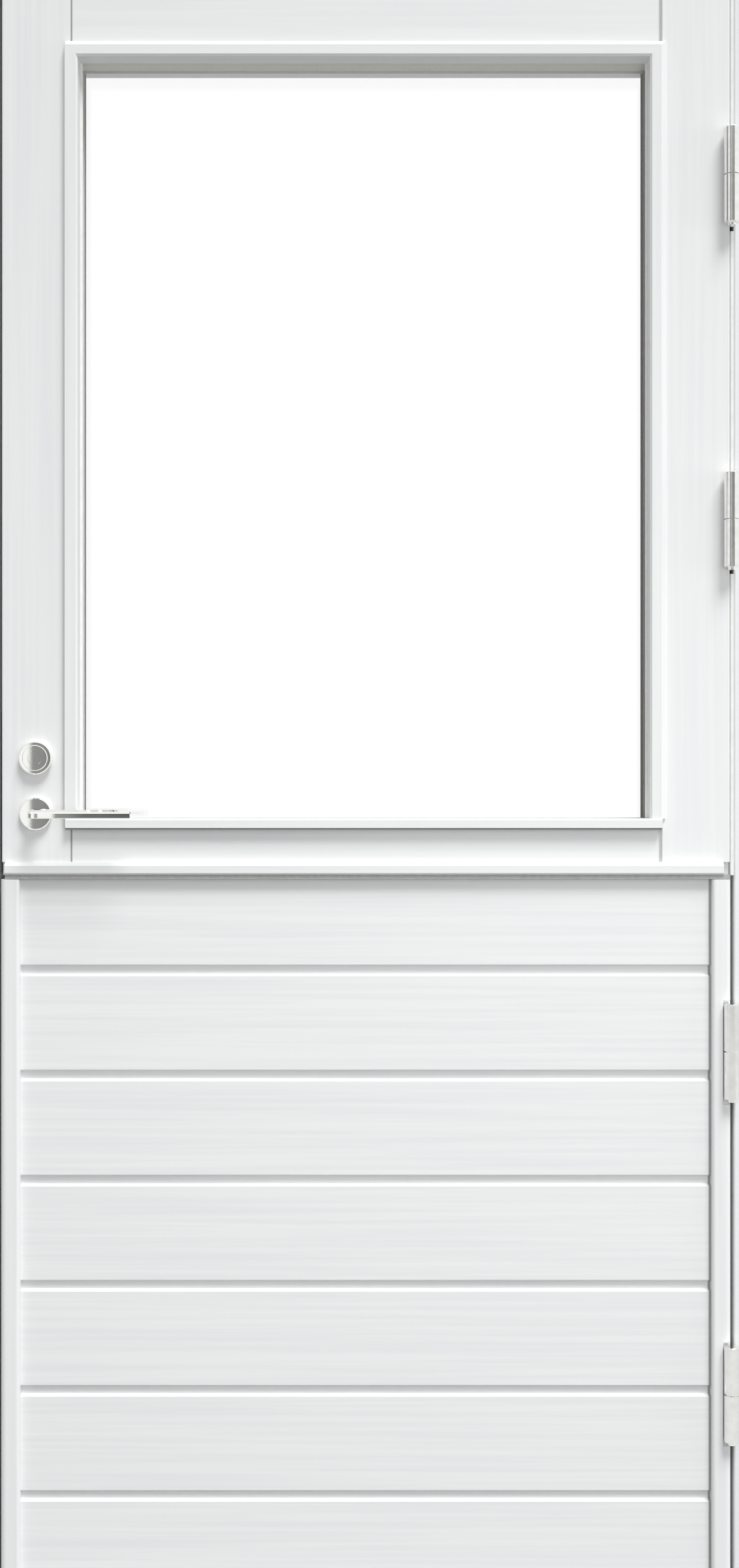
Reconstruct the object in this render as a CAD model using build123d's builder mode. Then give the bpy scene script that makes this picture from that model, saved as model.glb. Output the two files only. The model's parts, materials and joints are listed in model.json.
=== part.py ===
from build123d import *
import os

# A white painted stable door in its frame: an upper leaf with one large window,
# a lower leaf faced with horizontal boards, four lift-off hinges on the right and
# a lever handle with a round lock cylinder on the left of the upper leaf.
# +X is to the right seen from outdoors, +Y goes into the building, +Z is up.
# The origin is under the middle of the threshold, in the plane of the outer face.

os.makedirs("parts", exist_ok=True)

# Frame, in millimetres
frame_width = 990.0
frame_height = 2090.0
frame_depth = 140.0
jamb_thickness = 25.6
head_thickness = 26.0
stop_width = 15.0
arris = 1.5

# Leaves
leaf_thickness = 68.0
running_gap = 5.0
shoulder_gap = 5.0
meeting_height = 910.4
edge_bevel = 3.6
edge_round = 2.5
latch_seam_chamfer = 1.05
hinge_seam_chamfer = 2.35

# Threshold: a hardwood sill with an aluminium nosing on its outer part
threshold_nose = 10.0
threshold_timber_front = 10.0
threshold_timber_back = 12.0
threshold_rise = 20.0
nosing_thickness = 2.0
nosing_lip = 3.0

# Upper leaf: stiles, rails and window
stile_width = 88.6
top_rail_height = 92.0
bottom_rail_height = 60.5
glazing_cover = 11.8
window_shift = -2.5
surround_proud = 8.5
surround_face = 14.1
surround_latch_width = 16.1
surround_bevel = 6.5
surround_arris = 2.4
sill_proud = 11.0
sill_drop = 2.6
sill_overhang = 15.0
sill_slope = 1.5
sill_foot_chamfer = 2.4
sill_round = 1.0
glass_setback = 18.0
pane_thickness = 4.0
spacer_depth = 24.0
spacer_width = 7.0
glass_clearance = 3.3
bead_chamfer = 4.0
bead_gap = 0.2

# Weather strip along the foot of the upper leaf
drip_proud = 10.0
drip_rebate = 8.0
drip_height = 15.7
drip_lift = 1.1
drip_latch_inset = 5.5
drip_hinge_inset = 9.7
drip_round = 4.5
drip_foot_chamfer = 2.2
drip_groove = 3.0
drip_groove_setback = 6.0
strip_seal_width = 6.0
strip_seal_hinge_inset = 1.0

# Lower leaf: cladding boards between two upright battens, on stiles and rails
board_count = 7
board_setback = 2.0
board_thickness = 18.0
board_top_cut = 23.4
board_bottom_cut = 27.1
band_height = 10.2
band_depth = 6.0
board_chamfer = 3.0
board_foot_chamfer = 1.8
tongue_thickness = 5.0
tongue_height = 8.0
tongue_play = 0.5
batten_width = 24.0
batten_proud = 8.0
batten_outer_round = 7.0
batten_inner_round = 4.5
lower_stile_width = 90.0
lower_rail_height = 90.0
panel_thickness = 6.0
pile_width = 6.0
pile_foot = 3.0

# Frame seal in a groove of the stop
seal_inset = 5.0
seal_head_width = 6.0
seal_foot_width = 3.0
seal_foot_depth = 6.0
seal_touch_gap = 0.5
seal_round = 2.0

# White seal in the gap beside the hinge edge of the upper leaf
gap_seal_front = 1.5
gap_seal_back = 7.5
gap_seal_round = 1.5
gap_seal_hinge_clearance = 3.0

# Hinges: a knuckle with the pin on the frame, a knuckle with the bore on the leaf
hinge_axis_front = 12.0
knuckle_radius = 10.0
knuckle_length = 59.5
knuckle_split = 1.5
washer_radius = 8.0
washer_thickness = 1.2
pin_radius = 4.45
pin_clearance = 0.05
pin_length = 45.0
button_radius = 5.4
button_height = 4.0
cap_dome = 0.8
notch_clearance = 1.5
notch_end = 4.0
flag_thickness = 3.0
flag_depth = 38.0
upper_hinge_drop = 257.0
upper_hinge_spacing = 437.4
lower_hinge_drop = 218.0
lower_hinge_lift = 236.3

# Lock and lever handle
handle_backset = 44.4
handle_height = 991.2
cylinder_rise = 71.0
rose_radius = 20.5
rose_thickness = 8.0
rose_chamfer = 1.4
neck_radius = 6.0
neck_clearance = 0.08
neck_projection = 47.0
neck_length = 26.0
outer_grip_length = 126.0
inner_grip_length = 102.0
grip_height = 10.9
grip_thickness = 10.0
grip_bend = 5.0
grip_face_height = 5.4
grip_shoulder_height = 2.4
grip_shoulder_depth = 1.4
grip_crown_width = 1.2
grip_foot_chamfer = 0.9
grip_end_chamfer = 0.8
neck_inset = 1.0
spindle_size = 8.0
spindle_socket = 25.0
spindle_bore = 10.0
cylinder_ring_radius = 21.0
cylinder_ring_proud = 10.0
cylinder_radius = 16.4
cylinder_clearance = 0.05
cylinder_proud = 12.0
cylinder_chamfer = 1.0
cylinder_core_radius = 8.5
core_gap = 0.4
keyhole_width = 2.0
keyhole_height = 8.0
turn_length = 34.0
turn_width = 12.0
turn_reach = 26.0
faceplate_width = 24.0
faceplate_height = 235.0
faceplate_thickness = 3.0
faceplate_below_handle = 75.0
plate_corner = 2.0
latch_opening_width = 14.0
latch_opening_height = 26.0
bolt_opening_height = 40.0
bolt_offset = 2.0
bolt_recess = 1.5
strike_width = 24.0
strike_height = 190.0
strike_thickness = 2.5
strike_pocket = 14.0

# Fixing screws through the jambs
fixing_radius = 4.5
fixing_depth = 33.5
fixing_end = 130.0
fixing_spacing = 580.0

# Places worked out from the sizes above
frame_half = frame_width / 2
rebate_x = frame_half - jamb_thickness
leaf_half = rebate_x - running_gap
stop_x = rebate_x - stop_width
rebate_depth = leaf_thickness + shoulder_gap
head_bottom = frame_height - head_thickness
threshold_top = threshold_timber_back + nosing_thickness
leaf_bottom = threshold_top + running_gap
leaf_top = head_bottom - running_gap
lower_top = meeting_height - running_gap / 2
upper_bottom = meeting_height + running_gap / 2
opening_half = leaf_half - stile_width
opening_bottom = upper_bottom + bottom_rail_height
opening_top = leaf_top - top_rail_height
sight_left = window_shift - opening_half + glazing_cover
sight_right = window_shift + opening_half - glazing_cover
sight_bottom = opening_bottom + glazing_cover
sight_top = opening_top - glazing_cover
glass_back = glass_setback + 2 * pane_thickness + spacer_depth
hinge_x = leaf_half
hinge_y = -hinge_axis_front
handle_x = -leaf_half + handle_backset
cylinder_height = handle_height + cylinder_rise
seal_x = leaf_half - seal_inset
seal_bottom = leaf_bottom + seal_inset
seal_top = leaf_top - seal_inset
core_front = board_setback + board_thickness
core_back = leaf_thickness - panel_thickness
pile_middle = (core_front + core_back) / 2
board_half = leaf_half - batten_width
board_pitch = (lower_top - leaf_bottom + board_top_cut + board_bottom_cut) / board_count
upper_hinges = (leaf_top - upper_hinge_drop, leaf_top - upper_hinge_drop - upper_hinge_spacing)
lower_hinges = (lower_top - lower_hinge_drop, leaf_bottom + lower_hinge_lift)
fixing_heights = (
    fixing_end,
    fixing_end + fixing_spacing,
    frame_height - fixing_end - fixing_spacing,
    frame_height - fixing_end,
)

# The latch edge of both leaves leans back, so that the inner corner swings clear.
latch_edge = Plane(
    origin=(-leaf_half, 0, 0),
    x_dir=(edge_bevel, leaf_thickness, 0),
    z_dir=(-leaf_thickness, edge_bevel, 0),
)


def save(piece, name):
    """Label a finished piece and write it to its own file."""
    piece.part.label = name
    export_step(piece.part, f"parts/{name}.step")


def front(depth):
    """The upright plane that faces outdoors, a distance behind the outer face."""
    return Plane.XZ.offset(-depth)


def span(low, high):
    """Middle and length of a stretch between two places."""
    return (low + high) / 2, high - low


def strike_plane(height):
    """The rebate face of the latch jamb, opposite the lock, at one height."""
    return Plane(origin=(-rebate_x, bolt_depth_middle, height), x_dir=(0, 1, 0), z_dir=(1, 0, 0))


# The foot of the seal, which its groove in the frame is cut with
with BuildPart() as seal_foot:
    with BuildSketch(front(rebate_depth)):
        middle, height = span(seal_bottom, seal_top)
        with Locations((0, middle)):
            Rectangle(2 * seal_x + seal_foot_width, height + seal_foot_width)
            Rectangle(2 * seal_x - seal_foot_width, height - seal_foot_width, mode=Mode.SUBTRACT)
    extrude(amount=-seal_foot_depth)

# Hollow side of the strike: the pocket for the latch and the one for the bolt
strike_middle = handle_height + cylinder_rise / 2
latch_size = (latch_opening_width, latch_opening_height)
bolt_size = (latch_opening_width, bolt_opening_height)
bolt_depth_middle = leaf_thickness / 2
bolt_places = ((handle_height - bolt_offset, latch_size), (cylinder_height + bolt_offset, bolt_size))


def make_jamb(side, name):
    """One post of the frame, an L section with the stop at its inner side."""
    with BuildPart() as jamb:
        with BuildSketch():
            with BuildLine():
                Polyline(
                    (side * frame_half, 0),
                    (side * rebate_x, 0),
                    (side * rebate_x, rebate_depth),
                    (side * stop_x, rebate_depth),
                    (side * stop_x, frame_depth),
                    (side * frame_half, frame_depth),
                    close=True,
                )
            make_face()
        extrude(amount=frame_height)
        upright = jamb.edges().filter_by(Axis.Z)
        rebate_edge = upright.sort_by_distance((side * rebate_x, 0, frame_height / 2))[0]
        stop_edge = upright.sort_by_distance((side * stop_x, frame_depth, frame_height / 2))[0]
        chamfer([rebate_edge, stop_edge], length=arris)
        add(seal_foot.part, mode=Mode.SUBTRACT)
        screw_planes = [
            Plane(origin=(side * rebate_x, fixing_depth, z), z_dir=(-side, 0, 0)) for z in fixing_heights
        ]
        with Locations(*screw_planes):
            Hole(radius=fixing_radius, depth=jamb_thickness)
        if side < 0:
            with BuildSketch(strike_plane(strike_middle)):
                Rectangle(strike_width, strike_height)
            extrude(amount=-strike_thickness, mode=Mode.SUBTRACT)
            for height, (width, length) in bolt_places:
                with BuildSketch(strike_plane(height)):
                    Rectangle(width, length)
                extrude(amount=-strike_pocket, mode=Mode.SUBTRACT)
    save(jamb, name)


make_jamb(1, "hinge_jamb")
make_jamb(-1, "latch_jamb")

# Head of the frame, the same L section on its side, coped over the stops
with BuildPart() as frame_head:
    with BuildSketch(Plane.YZ.offset(-rebate_x)):
        with BuildLine():
            Polyline(
                (0, frame_height),
                (0, head_bottom),
                (rebate_depth, head_bottom),
                (rebate_depth, head_bottom - stop_width),
                (frame_depth, head_bottom - stop_width),
                (frame_depth, frame_height),
                close=True,
            )
        make_face()
    extrude(amount=2 * rebate_x)
    along = frame_head.edges().filter_by(Axis.X)
    rebate_edge = along.sort_by_distance((0, 0, head_bottom))[0]
    stop_edge = along.sort_by_distance((0, frame_depth, head_bottom - stop_width))[0]
    chamfer([rebate_edge, stop_edge], length=arris)
    for side in (-1, 1):
        with Locations((side * (rebate_x - stop_width / 2), (rebate_depth + frame_depth) / 2, frame_height)):
            Box(stop_width, frame_depth - rebate_depth, 4 * stop_width + head_thickness, mode=Mode.SUBTRACT)
    add(seal_foot.part, mode=Mode.SUBTRACT)
save(frame_head, "frame_head")

# Hardwood threshold between the jambs, low under the leaf and raised behind it
with BuildPart() as threshold:
    with BuildSketch(Plane.YZ.offset(-rebate_x)):
        with BuildLine():
            Polyline(
                (-threshold_nose, 0),
                (-threshold_nose, threshold_timber_front),
                (rebate_depth, threshold_timber_back),
                (rebate_depth, threshold_top + threshold_rise),
                (frame_depth, threshold_top + threshold_rise),
                (frame_depth, 0),
                close=True,
            )
        make_face()
    extrude(amount=2 * rebate_x)
    top_edges = threshold.edges().filter_by(Axis.X).group_by(Axis.Z)[-1]
    fillet(top_edges, radius=2 * arris)
    for side in (-1, 1):
        with Locations((side * (rebate_x - stop_width / 2), (rebate_depth + frame_depth) / 2, 0)):
            Box(stop_width, frame_depth - rebate_depth, 4 * threshold_rise + head_thickness, mode=Mode.SUBTRACT)
    add(seal_foot.part, mode=Mode.SUBTRACT)
save(threshold, "threshold")

# Aluminium nosing, bent over the front of the threshold
with BuildPart() as threshold_nosing:
    with BuildSketch(Plane.YZ.offset(-rebate_x)):
        with BuildLine():
            Polyline(
                (-threshold_nose, nosing_lip),
                (-threshold_nose, threshold_timber_front),
                (rebate_depth, threshold_timber_back),
                (rebate_depth, threshold_top),
                (-threshold_nose - nosing_thickness, threshold_timber_front + nosing_thickness),
                (-threshold_nose - nosing_thickness, nosing_lip),
                close=True,
            )
        make_face()
    extrude(amount=2 * rebate_x)
    nose_edge = threshold_nosing.edges().filter_by(Axis.X).sort_by_distance(
        (0, -threshold_nose - nosing_thickness, threshold_timber_front + nosing_thickness)
    )[0]
    fillet(nose_edge, radius=arris)
save(threshold_nosing, "threshold_nosing")

# Rubber seal all round the stop, a rounded head on a foot in its groove
with BuildPart() as frame_seal:
    seal_stand = shoulder_gap - seal_touch_gap
    with BuildSketch(front(rebate_depth)):
        middle, height = span(seal_bottom, seal_top)
        with Locations((0, middle)):
            Rectangle(2 * seal_x + seal_head_width, height + seal_head_width)
            Rectangle(2 * seal_x - seal_head_width, height - seal_head_width, mode=Mode.SUBTRACT)
    extrude(amount=seal_stand)
    fillet(frame_seal.faces().sort_by(Axis.Y)[0].edges(), radius=seal_round)
    add(seal_foot.part)
save(frame_seal, "frame_seal")

# White seal on the hinge jamb beside the upper leaf, in three lengths between the hinges
with BuildPart() as hinge_gap_seal:
    hinge_reach = knuckle_length + knuckle_split / 2 + gap_seal_hinge_clearance
    seal_ends = (leaf_top, *upper_hinges, upper_bottom)
    for number in range(len(seal_ends) - 1):
        high = seal_ends[number] - (hinge_reach + button_height if number else 0)
        low = seal_ends[number + 1] + (hinge_reach if number + 2 < len(seal_ends) else 0)
        with BuildSketch(Plane.XY.offset(low)):
            seal_middle, seal_width = span(leaf_half + seal_touch_gap, rebate_x)
            with Locations((seal_middle, (gap_seal_front + gap_seal_back) / 2)):
                Rectangle(seal_width, gap_seal_back - gap_seal_front)
        extrude(amount=high - low)
    front_edges = hinge_gap_seal.edges().filter_by(Axis.Z).group_by(Axis.Y)[0]
    fillet(front_edges.group_by(Axis.X)[0], radius=gap_seal_round)
save(hinge_gap_seal, "hinge_gap_seal")

# Strike plate let into the latch jamb, with its two openings
with BuildPart() as strike_plate:
    with BuildSketch(strike_plane(strike_middle)):
        Rectangle(strike_width, strike_height)
    extrude(amount=-strike_thickness)
    for height, (width, length) in bolt_places:
        with BuildSketch(strike_plane(height)):
            Rectangle(width, length)
        extrude(amount=-strike_thickness, mode=Mode.SUBTRACT)
save(strike_plate, "strike_plate")


def make_frame_hinge(split_height, name):
    """Lower half of a lift-off hinge: knuckle, pin, washer, end button and flag."""
    with BuildPart() as hinge:
        knuckle_top = split_height - knuckle_split / 2
        with BuildSketch(Plane.XZ.offset(hinge_axis_front)):
            with BuildLine():
                Polyline(
                    (hinge_x, knuckle_top - knuckle_length - button_height),
                    (hinge_x + button_radius, knuckle_top - knuckle_length - button_height),
                    (hinge_x + button_radius, knuckle_top - knuckle_length),
                    (hinge_x + knuckle_radius, knuckle_top - knuckle_length),
                    (hinge_x + knuckle_radius, knuckle_top),
                    (hinge_x + washer_radius, knuckle_top),
                    (hinge_x + washer_radius, knuckle_top + washer_thickness),
                    (hinge_x + pin_radius, knuckle_top + washer_thickness),
                    (hinge_x + pin_radius, knuckle_top + pin_length),
                    (hinge_x, knuckle_top + pin_length),
                    close=True,
                )
            make_face()
        revolve(axis=Axis((hinge_x, hinge_y, 0), (0, 0, 1)))
        flag_top = knuckle_top
        with Locations((rebate_x - flag_thickness, hinge_y, flag_top - knuckle_length)):
            Box(
                flag_thickness,
                hinge_axis_front + flag_depth,
                knuckle_length,
                align=(Align.MIN, Align.MIN, Align.MIN),
            )
    save(hinge, name)


def make_leaf_hinge(split_height, name):
    """Upper half of a lift-off hinge: capped knuckle over the pin, and flag."""
    with BuildPart() as hinge:
        knuckle_bottom = split_height + knuckle_split / 2
        with BuildSketch(Plane.XY.offset(knuckle_bottom)):
            with Locations((hinge_x, hinge_y)):
                Circle(knuckle_radius)
        extrude(amount=knuckle_length)
        with Locations((leaf_half - flag_thickness, hinge_y, knuckle_bottom)):
            Box(
                flag_thickness,
                hinge_axis_front + flag_depth,
                knuckle_length,
                align=(Align.MIN, Align.MIN, Align.MIN),
            )
        with BuildSketch(Plane.XY.offset(knuckle_bottom)):
            with Locations((hinge_x, hinge_y)):
                Circle(pin_radius + pin_clearance)
        extrude(amount=pin_length, mode=Mode.SUBTRACT)
        rim = hinge.edges().filter_by(GeomType.CIRCLE).group_by(Axis.Z)[-1]
        chamfer(rim, length=cap_dome)
    save(hinge, name)


for number, split_height in enumerate(upper_hinges + lower_hinges, start=1):
    make_frame_hinge(split_height, f"frame_hinge_{number}")
    make_leaf_hinge(split_height, f"leaf_hinge_{number}")


def cut_flag_recesses(split_heights):
    """Let the leaf flags of some hinges into the hinge edge of the stile being built."""
    for split_height in split_heights:
        with Locations((leaf_half - flag_thickness, hinge_y, split_height + knuckle_split / 2)):
            Box(
                flag_thickness,
                hinge_axis_front + flag_depth,
                knuckle_length,
                align=(Align.MIN, Align.MIN, Align.MIN),
                mode=Mode.SUBTRACT,
            )


def cut_hinge_notches(split_heights):
    """Hollow out the batten being built round the knuckles of some hinges."""
    for split_height in split_heights:
        notch_low = split_height - knuckle_split / 2 - knuckle_length - button_height - notch_end
        notch_high = split_height + knuckle_split / 2 + knuckle_length + notch_end
        with Locations((hinge_x, hinge_y, notch_low)):
            Cylinder(
                knuckle_radius + notch_clearance,
                notch_high - notch_low,
                align=(Align.CENTER, Align.CENTER, Align.MIN),
                mode=Mode.SUBTRACT,
            )


def cut_foot_rebate():
    """Cut the seat of the weather strip into the foot of the piece being built."""
    with Locations((0, 0, upper_bottom)):
        Box(
            2 * leaf_half,
            drip_rebate,
            drip_lift + drip_height,
            align=(Align.CENTER, Align.MIN, Align.MIN),
            mode=Mode.SUBTRACT,
        )


# Upper leaf, hinge stile
with BuildPart() as upper_hinge_stile:
    middle, height = span(upper_bottom, leaf_top)
    with Locations(((opening_half + leaf_half) / 2, leaf_thickness / 2, middle)):
        Box(stile_width, leaf_thickness, height)
    outer = upper_hinge_stile.edges().filter_by(Axis.Z).group_by(Axis.Y)[0]
    fillet(outer.sort_by(Axis.X)[-1], radius=edge_round)
    outer = upper_hinge_stile.edges().filter_by(Axis.Z).group_by(Axis.Y)[0]
    chamfer(outer.sort_by(Axis.X)[0], length=hinge_seam_chamfer)
    cut_flag_recesses(upper_hinges)
    cut_foot_rebate()
save(upper_hinge_stile, "upper_hinge_stile")

# Upper leaf, latch stile with the bores of the lock and the recess of its faceplate
faceplate_middle = handle_height - faceplate_below_handle + faceplate_height / 2
faceplate_plane = Plane(
    origin=latch_edge.origin + latch_edge.x_dir * (leaf_thickness / 2) + Vector(0, 0, faceplate_middle),
    x_dir=latch_edge.x_dir,
    z_dir=latch_edge.z_dir,
)
with BuildPart() as upper_latch_stile:
    middle, height = span(upper_bottom, leaf_top)
    with Locations((-(opening_half + leaf_half) / 2, leaf_thickness / 2, middle)):
        Box(stile_width, leaf_thickness, height)
    split(bisect_by=latch_edge, keep=Keep.BOTTOM)
    outer = upper_latch_stile.edges().filter_by(Axis.Z).group_by(Axis.Y)[0]
    fillet(outer.sort_by(Axis.X)[0], radius=edge_round)
    outer = upper_latch_stile.edges().filter_by(Axis.Z).group_by(Axis.Y)[0]
    chamfer(outer.sort_by(Axis.X)[-1], length=latch_seam_chamfer)
    with BuildSketch(faceplate_plane):
        Rectangle(faceplate_width, faceplate_height)
    extrude(amount=-faceplate_thickness, mode=Mode.SUBTRACT)
    with BuildSketch(front(0)):
        with Locations((handle_x, handle_height)):
            Circle(spindle_bore)
        with Locations((handle_x, cylinder_height)):
            Circle(cylinder_radius)
    extrude(amount=-leaf_thickness, mode=Mode.SUBTRACT)
    cut_foot_rebate()
save(upper_latch_stile, "upper_latch_stile")


def make_upper_rail(low, high, name):
    """A rail between the upper stiles, with chamfered ends; the lower one holds the pile."""
    with BuildPart() as rail:
        middle, height = span(low, high)
        with Locations((0, leaf_thickness / 2, middle)):
            Box(2 * opening_half, leaf_thickness, height)
        ends = rail.edges().filter_by(Axis.Z).group_by(Axis.Y)[0].sort_by(Axis.X)
        chamfer(ends[0], length=latch_seam_chamfer)
        ends = rail.edges().filter_by(Axis.Z).group_by(Axis.Y)[0].sort_by(Axis.X)
        chamfer(ends[-1], length=hinge_seam_chamfer)
        if low < opening_bottom:
            cut_foot_rebate()
            with Locations((0, pile_middle, upper_bottom + pile_foot / 2)):
                Box(2 * opening_half, pile_width, pile_foot, mode=Mode.SUBTRACT)
    save(rail, name)


make_upper_rail(opening_top, leaf_top, "upper_top_rail")
make_upper_rail(upper_bottom, opening_bottom, "upper_bottom_rail")


def make_window_ring(front_depth, back_depth, width, name):
    """A flat rectangle in the window opening; a width leaves only its rim."""
    with BuildPart() as ring:
        middle, height = span(opening_bottom + glass_clearance, opening_top - glass_clearance)
        half = opening_half - glass_clearance
        with BuildSketch(front(front_depth)):
            with Locations((window_shift, middle)):
                Rectangle(2 * half, height)
                if width:
                    Rectangle(2 * half - 2 * width, height - 2 * width, mode=Mode.SUBTRACT)
        extrude(amount=front_depth - back_depth)
    save(ring, name)


pane_back = glass_setback + pane_thickness
make_window_ring(glass_setback, pane_back, 0, "outer_pane")
make_window_ring(pane_back, pane_back + spacer_depth, spacer_width, "glazing_spacer")
make_window_ring(pane_back + spacer_depth, glass_back, 0, "inner_pane")


def surround_outline(cover, direction):
    """Section of a surround strip, from its sight line outwards, facing outdoors."""
    return [
        (0, glass_setback),
        (0, -surround_proud + surround_arris),
        (direction * surround_arris, -surround_proud),
        (direction * surround_face, -surround_proud),
        (direction * (surround_face + surround_bevel), -surround_arris),
        (direction * (surround_face + surround_bevel), 0),
        (direction * cover, 0),
        (direction * cover, glass_setback),
    ]


surround_width = surround_face + surround_bevel
sill_top = sight_bottom
sill_bottom = sight_bottom - surround_face

latch_outline = [
    (0, glass_setback),
    (0, -surround_proud + surround_arris),
    (-surround_arris, -surround_proud),
    (-surround_latch_width, -surround_proud),
    (-surround_latch_width, 0),
    (-opening_half - sight_left, 0),
    (-opening_half - sight_left, glass_setback),
]
hinge_outline = surround_outline(opening_half - sight_right, 1)

# Surround strip on each side of the window, mitred at the top, standing on the sill.
# The one on the latch side has a square outer edge, the one on the hinge side a bevel.
for side, sight, outline, name in (
    (1, sight_right, hinge_outline, "surround_hinge_side"),
    (-1, sight_left, latch_outline, "surround_latch_side"),
):
    with BuildPart() as strip:
        with BuildSketch(Plane.XY.offset(sill_top)):
            with BuildLine():
                Polyline(*[(sight + x, y) for x, y in outline], close=True)
            make_face()
        extrude(amount=sight_top + surround_width - sill_top)
        mitre = Plane(origin=(sight, 0, sight_top), x_dir=(0, 1, 0), z_dir=(-side, 0, 1))
        split(bisect_by=mitre, keep=Keep.BOTTOM)
        with Locations((sight, 0, opening_top)):
            Box(
                2 * surround_width,
                2 * glass_setback,
                surround_width,
                align=(Align.CENTER, Align.MIN, Align.MIN),
                mode=Mode.SUBTRACT,
            )
    save(strip, name)

# Surround strip over the window, mitred at both ends and cut off square over the latch side
with BuildPart() as surround_top:
    cover = opening_top - sight_top
    with BuildSketch(Plane.YZ.offset(sight_left - surround_latch_width)):
        with BuildLine():
            points = surround_outline(cover, 1)
            Polyline(*[(y, sight_top + x) for x, y in points], close=True)
        make_face()
    extrude(amount=sight_right - sight_left + surround_latch_width + surround_width)
    for side, sight in ((1, sight_right), (-1, sight_left)):
        mitre = Plane(origin=(sight, 0, sight_top), x_dir=(0, 1, 0), z_dir=(-side, 0, 1))
        split(bisect_by=mitre, keep=Keep.TOP)
        with Locations((side * opening_half, 0, sight_top)):
            Box(
                surround_width,
                2 * glass_setback,
                surround_width,
                align=(Align.MIN if side > 0 else Align.MAX, Align.MIN, Align.MIN),
                mode=Mode.SUBTRACT,
            )
save(surround_top, "surround_top")

# Sill under the window, a bar with a sloped top and a rounded front
with BuildPart() as window_sill:
    with BuildSketch(Plane.YZ.offset(sight_left - sill_overhang)):
        with BuildLine():
            Polyline(
                (glass_setback, sill_top),
                (-surround_proud, sill_top),
                (-sill_proud, sill_top - sill_slope),
                (-sill_proud, sill_bottom + sill_foot_chamfer),
                (-sill_proud + sill_foot_chamfer, sill_bottom),
                (0, sill_bottom + sill_drop),
                (0, opening_bottom),
                (glass_setback, opening_bottom),
                close=True,
            )
        make_face()
    extrude(amount=sight_right - sight_left + 2 * sill_overhang)
    for side, sight in ((1, sight_right), (-1, sight_left)):
        with Locations((side * opening_half, 0, sill_bottom)):
            Box(
                sill_overhang + surround_width,
                glass_setback,
                sill_top - sill_bottom + surround_width,
                align=(Align.MIN if side > 0 else Align.MAX, Align.MIN, Align.MIN),
                mode=Mode.SUBTRACT,
            )
    front_edges = window_sill.edges().filter_by(Axis.X).group_by(Axis.Y)[0]
    fillet(front_edges.sort_by(Axis.Z)[-1], radius=sill_round)
save(window_sill, "window_sill")

# Glazing beads indoors, four bars that press the glass against the surround
with BuildPart() as inner_beads:
    bead_depth = leaf_thickness - glass_back
    for low, high in ((opening_bottom, sight_bottom), (sight_top, opening_top)):
        middle, height = span(low, high)
        with Locations((0, glass_back + bead_depth / 2, middle)):
            Box(2 * opening_half, bead_depth, height)
    for low, high in ((-opening_half, sight_left), (sight_right, opening_half)):
        middle, width = span(low, high)
        upright_middle, upright_height = span(sight_bottom + bead_gap, sight_top - bead_gap)
        with Locations((middle, glass_back + bead_depth / 2, upright_middle)):
            Box(width, bead_depth, upright_height)
    indoor = inner_beads.faces().sort_by(Axis.Y)[-4:]
    inner_rim = [
        face.edges().sort_by_distance((window_shift, leaf_thickness, (sight_bottom + sight_top) / 2))[0]
        for face in indoor
    ]
    chamfer(inner_rim, length=bead_chamfer)
save(inner_beads, "inner_beads")

# Weather strip on the foot of the upper leaf, rounded on top and grooved below
with BuildPart() as drip_rail:
    with BuildSketch(Plane.YZ.offset(-leaf_half + drip_latch_inset)):
        with BuildLine():
            Polyline(
                (drip_rebate, upper_bottom + drip_lift),
                (-drip_proud + drip_foot_chamfer, upper_bottom + drip_lift),
                (-drip_proud, upper_bottom + drip_lift + drip_foot_chamfer),
                (-drip_proud, upper_bottom + drip_lift + drip_height - drip_round),
                (-drip_proud + drip_round, upper_bottom + drip_lift + drip_height),
                (drip_rebate, upper_bottom + drip_lift + drip_height),
                close=True,
            )
        make_face()
        with Locations((-drip_proud + drip_groove_setback, upper_bottom + drip_lift)):
            Rectangle(drip_groove, 2 * drip_groove, mode=Mode.SUBTRACT)
    extrude(amount=2 * leaf_half - drip_latch_inset - drip_hinge_inset)
save(drip_rail, "drip_rail")

# White seal under the weather strip, a foot in the groove of the strip and a lip that
# runs on to the hinge edge
with BuildPart() as strip_seal:
    seal_middle = -drip_proud + drip_groove_setback
    lip_low = lower_top + seal_touch_gap
    lip_high = upper_bottom + drip_lift
    with BuildSketch(Plane.YZ.offset(-leaf_half + drip_latch_inset)):
        with Locations((seal_middle, (lip_low + lip_high) / 2)):
            Rectangle(strip_seal_width, lip_high - lip_low)
    extrude(amount=2 * leaf_half - drip_latch_inset - strip_seal_hinge_inset)
    with BuildSketch(Plane.YZ.offset(-leaf_half + drip_latch_inset)):
        with Locations((seal_middle, lip_high + drip_groove / 2)):
            Rectangle(drip_groove, drip_groove)
    extrude(amount=2 * leaf_half - drip_latch_inset - drip_hinge_inset)
save(strip_seal, "strip_seal")

# Pile strip in the foot of the upper leaf, which closes the gap between the leaves
with BuildPart() as meeting_seal:
    middle, height = span(lower_top + seal_touch_gap, upper_bottom + pile_foot)
    with Locations((0, pile_middle, middle)):
        Box(2 * opening_half, pile_width, height)
save(meeting_seal, "meeting_seal")

# Faceplate of the mortise lock, with its latch and bolt drawn in
with BuildPart() as lock_faceplate:
    with BuildSketch(faceplate_plane):
        RectangleRounded(faceplate_width, faceplate_height, plate_corner)
    extrude(amount=-faceplate_thickness)
    for height, (width, length) in bolt_places:
        with BuildSketch(faceplate_plane):
            with Locations((0, faceplate_middle - height)):
                Rectangle(width, length)
        extrude(amount=-bolt_recess, mode=Mode.SUBTRACT)
save(lock_faceplate, "lock_faceplate")

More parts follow.
